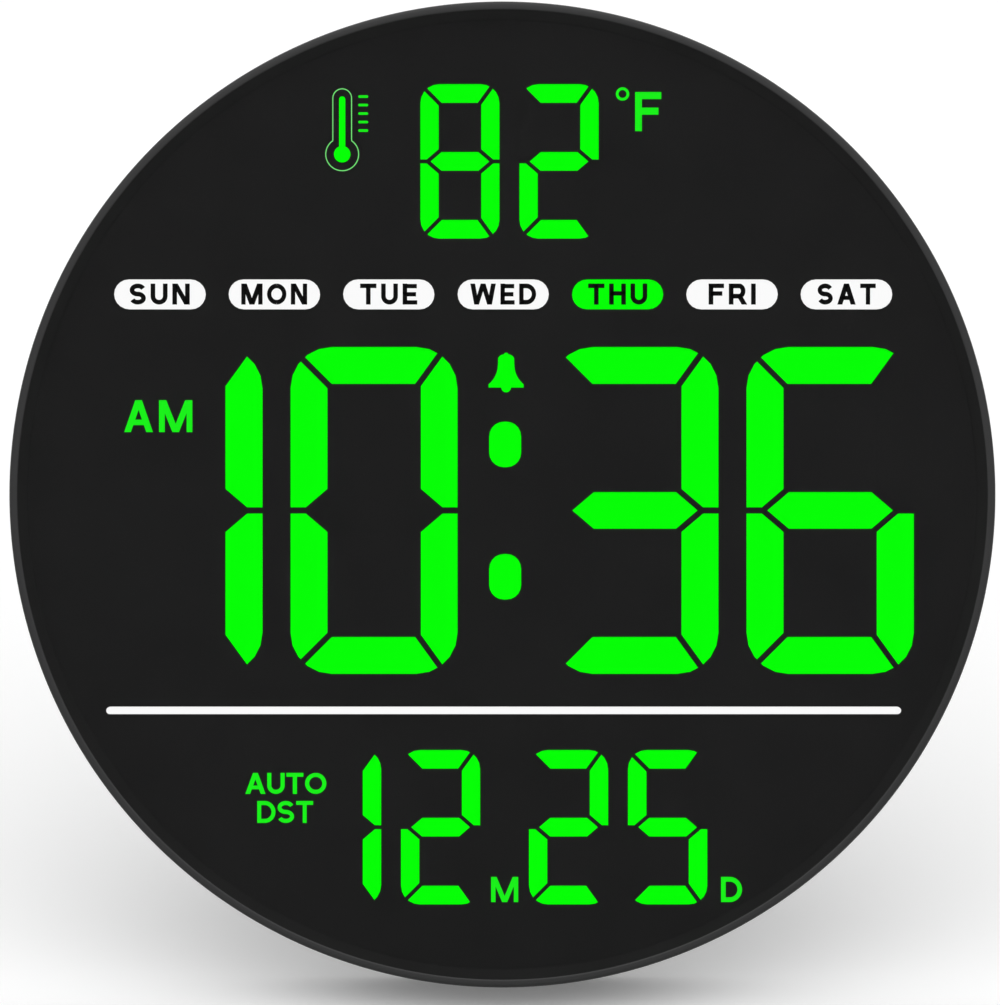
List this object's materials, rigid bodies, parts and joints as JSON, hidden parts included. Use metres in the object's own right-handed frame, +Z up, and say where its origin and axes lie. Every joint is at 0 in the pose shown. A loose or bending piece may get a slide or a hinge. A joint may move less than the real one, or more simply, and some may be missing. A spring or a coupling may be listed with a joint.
{
  "type": "digital wall clock",
  "caption": "Round digital wall clock with a dark flush face, lit green seven-segment time, date and temperature, a keyhole back and a fold-out leg.",
  "frame": {"origin": "middle of the bounding box on the table plane, with the clock standing on its opened leg", "axes": "+Z up, -Y out of the front of the clock, +X to the right as seen from the front"},
  "size_m": [0.305, 0.126, 0.2982],
  "materials": {
    "case_black": "fine satin moulding",
    "smoked_lens": "smoked acrylic sheet",
    "shell_black": "flat black",
    "lit_green": "lit green diffuser",
    "lit_white": "lit white diffuser",
    "dark_film": "dark diffuser",
    "board_green": "solder mask",
    "lamp_white": "lamp package",
    "chip_black": "moulded component",
    "bright_steel": "plated",
    "screw_steel": "zinc plated",
    "can_aluminium": "can",
    "pad_rubber": "soft rubber",
    "key_grey": "moulded key"
  },
  "bodies": {
    "case": {"front_bezel": "case_black", "front_lens": "smoked_lens", "display_shell": "shell_black", "display_board": "board_green", "segment_leds": "lamp_white", "display_screws": "screw_steel", "led_drivers": "chip_black", "board_connector": "chip_black", "main_board": "board_green", "microcontroller": "chip_black", "clock_crystal": "bright_steel", "power_capacitor": "can_aluminium", "buzzer": "chip_black", "thermistor": "chip_black", "tact_switches": "chip_black", "cell_holder": "chip_black", "coin_cell": "bright_steel", "usb_socket": "bright_steel", "board_screws": "screw_steel", "rear_cover": "case_black", "cover_screws": "screw_steel", "hinge_pin": "bright_steel", "unlit_segments": "dark_film", "hour_segments": "lit_green", "minute_segments": "lit_green", "temperature_segments": "lit_green", "month_segments": "lit_green", "day_segments": "lit_green", "colon_dots": "lit_green", "today_window": "lit_green", "weekday_windows": "lit_white", "divider_window": "lit_white"},
    "stand": {"stand_leg": "case_black", "foot_pad": "pad_rubber"},
    "battery_door": {"battery_door": "case_black"},
    "button_set": {"button_set": "key_grey"},
    "button_up": {"button_up": "key_grey"},
    "button_down": {"button_down": "key_grey"},
    "button_alarm": {"button_alarm": "key_grey"},
    "button_light": {"button_light": "key_grey"}
  },
  "joints": [
    {"name": "stand_swing", "type": "hinge", "parent": "case", "child": "stand", "pos_m": [0, 0.01228, 0.15136], "axis": [1, 0, 0], "range_deg": [-24, 0]},
    {"name": "battery_door_slide", "type": "slide", "parent": "case", "child": "battery_door", "axis": [0, -0.321, -0.9471], "range_m": [0, 0.005]},
    {"name": "button_set_press", "type": "slide", "parent": "case", "child": "button_set", "axis": [0, -0.9471, 0.321], "range_m": [0, 0.0008], "stiffness_N_per_m": 1500},
    {"name": "button_up_press", "type": "slide", "parent": "case", "child": "button_up", "axis": [0, -0.9471, 0.321], "range_m": [0, 0.0008], "stiffness_N_per_m": 1500},
    {"name": "button_down_press", "type": "slide", "parent": "case", "child": "button_down", "axis": [0, -0.9471, 0.321], "range_m": [0, 0.0008], "stiffness_N_per_m": 1500},
    {"name": "button_alarm_press", "type": "slide", "parent": "case", "child": "button_alarm", "axis": [0, -0.9471, 0.321], "range_m": [0, 0.0008], "stiffness_N_per_m": 1500},
    {"name": "button_light_press", "type": "slide", "parent": "case", "child": "button_light", "axis": [0, -0.9471, 0.321], "range_m": [0, 0.0008], "stiffness_N_per_m": 1500}
  ]
}
